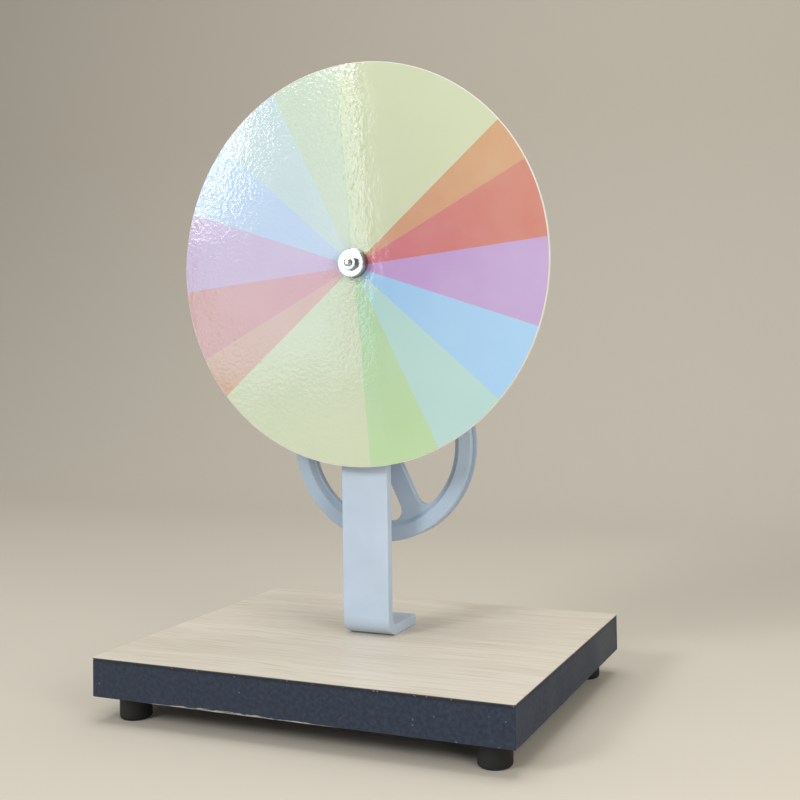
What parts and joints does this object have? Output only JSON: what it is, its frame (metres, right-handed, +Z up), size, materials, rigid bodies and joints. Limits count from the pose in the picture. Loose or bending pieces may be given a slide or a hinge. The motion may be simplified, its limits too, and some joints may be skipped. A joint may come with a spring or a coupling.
{
  "type": "hand-cranked color disc",
  "caption": "Rotating colour-mixing disc on an upright bar, driven by a belt from a cranked spoked wheel, on a laminated base with rubber feet.",
  "frame": {"origin": "on the bench under the middle of the base board, in the plane of the four feet", "axes": "+X to the right of someone facing the disc, +Y from the disc towards the crank, +Z up"},
  "size_m": [0.208, 0.162, 0.3135],
  "materials": {
    "base_paint": "matte blue-black paint over board",
    "base_laminate": "satin maple laminate",
    "feet_rubber": "matte black rubber",
    "zinc_steel": "bright zinc plate",
    "frame_paint": "satin blue-grey paint",
    "bush_brass": "turned, satin",
    "bright_steel": "turned, satin",
    "belt_rubber": "matte round belt",
    "hub_chrome": "polished plate",
    "disc_core": "white sheet, cut edge",
    "disc_print": "glossy printed sheet in pastel sectors",
    "black_steel": "black oxide",
    "grip_plastic": "matte moulded plastic"
  },
  "bodies": {
    "stand": {"base_board": "base_paint", "base_laminate": "base_laminate", "rubber_feet": "feet_rubber", "foot_screws": "zinc_steel", "upright_bar": "frame_paint", "bar_screws": "zinc_steel", "bar_washers": "zinc_steel", "spindle_bush": "bush_brass", "bush_washer": "zinc_steel", "bush_nut": "zinc_steel", "wheel_axle": "bright_steel", "axle_nut": "zinc_steel", "axle_spacer": "bright_steel", "axle_washer": "zinc_steel", "axle_end_washer": "zinc_steel", "axle_end_screw": "zinc_steel", "drive_belt": "belt_rubber"},
    "disc_assembly": {"disc_spindle": "hub_chrome", "disc_flange": "bright_steel", "color_disc": "disc_core", "disc_print": "disc_print", "clamp_collar": "hub_chrome", "front_washer": "hub_chrome", "hub_nut": "hub_chrome", "thrust_washers": "zinc_steel", "driven_pulley": "bright_steel", "pulley_set_screw": "black_steel"},
    "crank_wheel": {"drive_wheel": "frame_paint", "wheel_bush": "bush_brass", "crank_stud": "bright_steel", "crank_stud_nut": "zinc_steel", "crank_washer": "zinc_steel", "crank_screw": "zinc_steel"},
    "crank_handle": {"crank_grip": "grip_plastic"}
  },
  "joints": [
    {"name": "wheel_spin", "type": "hinge", "parent": "stand", "child": "crank_wheel", "pos_m": [0, 0.018, 0.1235], "axis": [0, 1, 0], "continuous": true},
    {"name": "disc_spin", "type": "hinge", "parent": "stand", "child": "disc_assembly", "pos_m": [0, 0.018, 0.2135], "axis": [0, 1, 0], "continuous": true},
    {"name": "handle_spin", "type": "hinge", "parent": "crank_wheel", "child": "crank_handle", "pos_m": [0.01812, 0.04, 0.14987], "axis": [0, 1, 0], "continuous": true}
  ],
  "couplings": [
    {"joint": "disc_spin", "follows": "wheel_spin", "ratio": 5}
  ]
}
